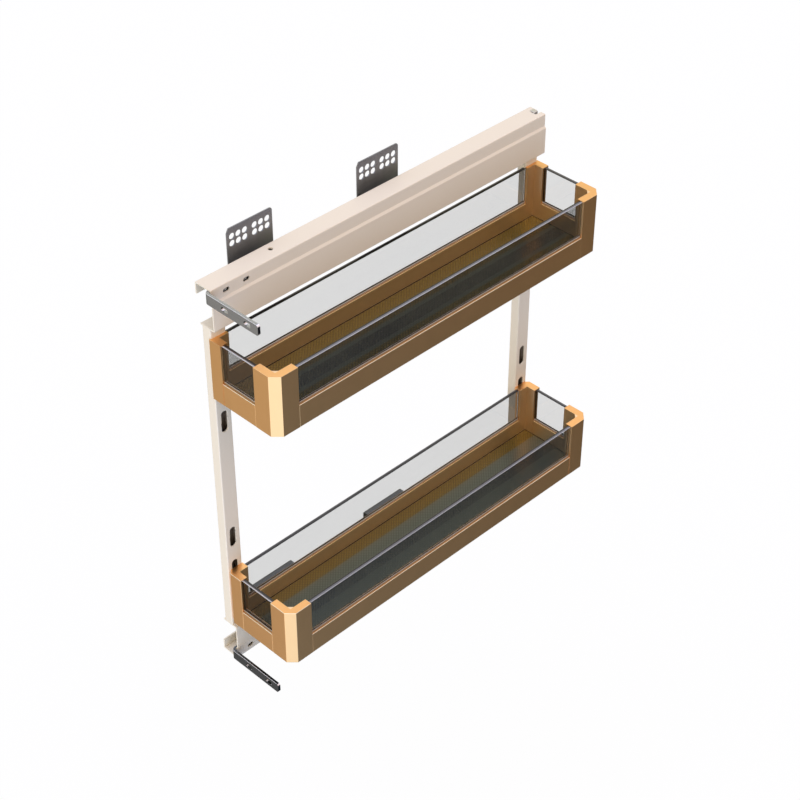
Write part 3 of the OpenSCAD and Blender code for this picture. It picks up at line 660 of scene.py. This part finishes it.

# %% [markdown]
# The floor panel is a dark glossy sheet with fine raised lozenges. They could be modelled,
# but some ten thousand bumps of a tenth of a millimetre cost more than they show. Two crossing
# sine waves give their height, which drives the Bump and the tone. Beside the long gold rails
# the panel takes a painted reflection of the gold, in the lower basket over a narrower strip
# with a painted grey reflection next to it. A dark line of painted shade fills the gap under
# the rails.

# %% Floor panels
LOZENGE_PITCH = 3.75 * MM
LOZENGE_RELIEF = 0.09 * MM
GOLD_REFLECTION_WIDTH = {"upper": 26 * MM, "lower": 14.6 * MM}
GREY_REFLECTION_WIDTH = 31 * MM
GAP_SHADE_WIDTH = 0.9 * MM
FADE_WIDTH = 2 * MM
# The warm and grey tones are painted reflections beside the rails; the gap tone is painted shade.
PANEL_DARK = ((0.022, 0.022, 0.017, 1), (0.055, 0.055, 0.043, 1))
PANEL_GREY_REFLECTION = ((0.055, 0.062, 0.045, 1), (0.095, 0.107, 0.080, 1))
PANEL_GOLD_REFLECTION = ((0.045, 0.029, 0.003, 1), (0.135, 0.096, 0.012, 1))
PANEL_GAP_SHADE = (0.004, 0.003, 0.002, 1)


def lozenge(g, here):
    """Height of the raised pattern, from 0 in the channels to 1 on the lozenges."""
    x, y = g.part(here, "X"), g.part(here, "Y")
    waves = [g.math("SINE", slant * (math.pi / LOZENGE_PITCH)) for slant in (x + y, x - y)]
    return g.math("ABSOLUTE", waves[0]) * g.math("ABSOLUTE", waves[1])


def panel_finish(level):
    def colour(g, here):
        across, along = plan(g, here, *cavity(level))
        raised = lozenge(g, here)
        dark, pale_painted_light, gold_reflection = (g.blend(raised, *pair) for pair in (PANEL_DARK, PANEL_GREY_REFLECTION, PANEL_GOLD_REFLECTION))
        with_grey_reflection = g.blend(g.math("LESS_THAN", across, GREY_REFLECTION_WIDTH), dark, pale_painted_light)
        fade = (GOLD_REFLECTION_WIDTH[level] - across) * (1 / FADE_WIDTH) + 0.5
        fade = g.math("MINIMUM", g.math("MAXIMUM", fade, 0.0), 1.0)
        gap_shade = g.math("LESS_THAN", g.math("MINIMUM", across, along), GAP_SHADE_WIDTH)
        return g.blend(gap_shade, g.blend(fade, with_grey_reflection, gold_reflection), PANEL_GAP_SHADE)

    return finish(
        f"floor_panel_dark_{level}",
        colour,
        0.0,
        lambda g, here: 0.05 + 0.04 * g.noise(here, 90),
        lambda g, here: g.bump(lozenge(g, here), LOZENGE_RELIEF),
        IOR=1.7,
        Specular_Tint=(1.0, 1.0, 0.6, 1),
    )


panel = {level: panel_finish(level) for level in LEVELS}
print("made", len(panel), "floor panel finishes")

# %% [markdown]
# The posts are tubes, and inside them painted shade makes the wall look brown and dark
# through a slot. A mask at the depth of the wall makes that change. The glazing beads, whose
# shape is made further down, carry painted shade in the tone of the rail that they lie in, with
# a painted glint as a pale rim where they meet the glass. Those inside a basket get lighter
# painted shade.

# %% Posts and glazing beads
POST_SKIN = 1.45 * MM
# Painted shade inside the tubes, seen through the slots.
POST_INSIDE_SHADE = (0.16, 0.125, 0.09, 1)
RIM_FROM = 1.35 * MM
BEAD_REACH = -4 * MM
# The bead tones are painted shade, lighter inside a basket, and the pale ones a painted glint.
BEAD_SHADE = ((0.22, 0.130, 0.036, 1), (0.33, 0.16, 0.035, 1))
BEAD_GLINT = ((0.46, 0.41, 0.34, 1), (0.60, 0.58, 0.50, 1))


def post_colour(g, here):
    """The cream coat of a post, with painted shade inside the tube."""
    tube_shade = 0.0
    for name in ("front_post", "rear_post"):
        tube_shade = tube_shade + inside(g, here, *(corner[:2] for corner in box(name)), POST_SKIN)
    coat = g.blend(g.noise(here, 30, 3), CREAM, CREAM_LIGHT)
    return g.blend(tube_shade, coat, POST_INSIDE_SHADE)


# Painted shade on the bead body and a painted glint on its rim.
def bead_shade_finish(level):
    def colour(g, here):
        rail_top = box(f"{level}_left_sill")[1][2]
        rim = g.math("GREATER_THAN", g.part(here, "Z"), rail_top + RIM_FROM)
        inner = inside(g, here, *cavity(level), BEAD_REACH)
        body, pale_painted_light = (g.blend(inner, *pair) for pair in (BEAD_SHADE, BEAD_GLINT))
        return g.blend(rim, g.blend(0.25 * g.noise(here, 200), body, pale_painted_light), pale_painted_light)

    return finish(f"painted_bead_shade_{level}", colour, 0.0, 0.55)


cream_post = finish("cream_post", post_colour, 0.0, 0.42, grain(700, 0.000003))
bead = {level: bead_shade_finish(level) for level in LEVELS}
print("post and glazing bead finishes made")

# %% [markdown]
# ## Finishing the solids
#
# A solid from the construction model has razor edges. Real ones catch a line of light, so
# each gets modifiers that leave its mesh alone: Weld joins the split corners, Decimate in its
# planar mode turns the triangles of one face into one face, Bevel rounds the sharp edges,
# and Weighted Normal keeps the flat faces flat beside the rounding. Rounding in the solids
# themselves would burden the mechanism's model with faces that only matter for looks.


# %% Rounding
def soften(solid, width):
    """Rounds the sharp edges of a solid, width in mm."""
    weld = solid.modifiers.new("weld", "WELD")
    weld.merge_threshold = 0.01 * MM
    flat = solid.modifiers.new("flat", "DECIMATE")
    flat.decimate_type = "DISSOLVE"
    flat.angle_limit = math.radians(0.5)
    bevel = solid.modifiers.new("bevel", "BEVEL")
    bevel.width = width * MM
    bevel.segments = 2
    bevel.limit_method = "ANGLE"
    bevel.angle_limit = math.radians(40)
    bevel.use_clamp_overlap = True
    even = solid.modifiers.new("even", "WEIGHTED_NORMAL")
    even.keep_sharp = False


print("rounding ready")

# %% [markdown]
# The record of the construction model names a material slot for each solid. The solids could
# be dressed one by one, but a table by slot is shorter, and a screw or a rail that is added to
# the model gets its finish by itself. The cages are thin and the balls are round, so they stay
# as they are.

# %% Finish and rounding in mm by material slot
FINISH = {
    "cream": (cream, 0.25),
    "gold": (gold, 0.4),
    "bracket": (zinc_dull, 0.2),
    "door_bar": (bar_steel, 0.25),
    "slide": (zinc_bright, 0.12),
    "hook": (zinc_bright, 0.15),
    "rivet": (zinc_bright, 0.1),
    "screw": (zinc_bright, 0.15),
    "cage": (brass, 0.0),
    "ball": (chrome, 0.0),
    "glass": (glass, 0.45),
    "floor": (panel, 0.15),
}


def chosen(material, name):
    """The finish of one solid, where a slot has one for each basket or for each pane."""
    if name.endswith("_post"):
        return cream_post
    if not isinstance(material, dict):
        return material
    level, side = name.split("_")[:2]
    return material.get(level) or material[level, side]


slots = {row["node"]: row["material_slot"] for row in frame["record"]["subparts"]}
for name, solid in nodes.items():
    material, width = FINISH[slots[name]]
    solid.data.materials.clear()
    solid.data.materials.append(chosen(material, name))
    if width:
        soften(solid, width)
print("finished", len(nodes), "solids")

# %% [markdown]
# ## Glazing beads
#
# A thin bead closes the groove on both sides of each pane, between the corner pieces, and
# carries painted shade of the groove and a painted glint at the foot of the glass.
# Its section is a small hollow fillet with a narrow rim that leans on the glass. The inner
# bead is wider and covers the top of the wall nearly to its edge. The hollow back is a power
# curve, because a straight one would look like a chamfer.

# %% Section of a bead
BEAD_WIDTH = {"outer": 0.8 * MM, "inner": 1.7 * MM}
BEAD_HEIGHT = 1.9 * MM
BEAD_RIM = 0.28 * MM
BEAD_STEPS = 5
BEAD_SEAT = -0.4 * MM
BEAD_BITE = -0.05 * MM
BEAD_DROP = 0.5 * MM
BEAD_HOLLOW = 1.8


def bead_section(width):
    """Points from the glass, over the hollow back, down into the groove: (outwards, up)."""
    points = [(BEAD_BITE, BEAD_SEAT), (BEAD_BITE, BEAD_HEIGHT), (BEAD_RIM, BEAD_HEIGHT)]
    for step in range(1, BEAD_STEPS + 1):
        part = step / BEAD_STEPS
        out = BEAD_RIM + (width - BEAD_RIM) * part
        points.append((out, (BEAD_HEIGHT - BEAD_DROP) * (1 - part) ** BEAD_HOLLOW))
    points.append((0.0, BEAD_SEAT))
    return points


for place, width in BEAD_WIDTH.items():
    print(place, "bead has a section of", len(bead_section(width)), "points")

# %% [markdown]
# A curve with a profile could make a bead. Here the section's points are laid at both ends of
# the rail and joined, which gives closed ends and exact places. The beads of one pane are one
# piece, and it rides on the body that pulls out.


# %% Beads
def beads(level, side):
    """Both beads of one pane, as one piece."""
    pane_low, pane_high = box(f"{level}_{side}_glass")
    rail_low, rail_high = box(f"{level}_{side}_sill")
    along = 1 if side in ("left", "right") else 0
    across = 1 - along
    inner_sign = 1 if side in ("left", "front") else -1
    points, faces = [], []
    for face, sign in ((pane_low[across], -1), (pane_high[across], 1)):
        section = bead_section(BEAD_WIDTH["inner" if sign == inner_sign else "outer"])
        first = len(points)
        count = len(section)
        for end in (rail_low[along], rail_high[along]):
            for out, up in section:
                place = [0.0, 0.0, rail_high[2] + up]
                place[along] = end
                place[across] = face + sign * out
                points.append(tuple(place))
        for i in range(count):
            j = (i + 1) % count
            faces.append((first + i, first + j, first + count + j, first + count + i))
        faces.append(tuple(first + i for i in range(count)))
        faces.append(tuple(first + count + i for i in reversed(range(count))))
    mesh = bpy.data.meshes.new(f"{level}_{side}_bead")
    mesh.from_pydata(points, [], faces)
    mesh.validate()
    mesh.materials.append(bead[level])
    piece = bpy.data.objects.new(f"{level}_{side}_bead", mesh)
    bpy.context.scene.collection.objects.link(piece)
    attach(piece, "pull_out")
    return piece


made = [beads(level, side) for level in LEVELS for side in SIDES]
print("made", len(made), "pairs of glazing beads")
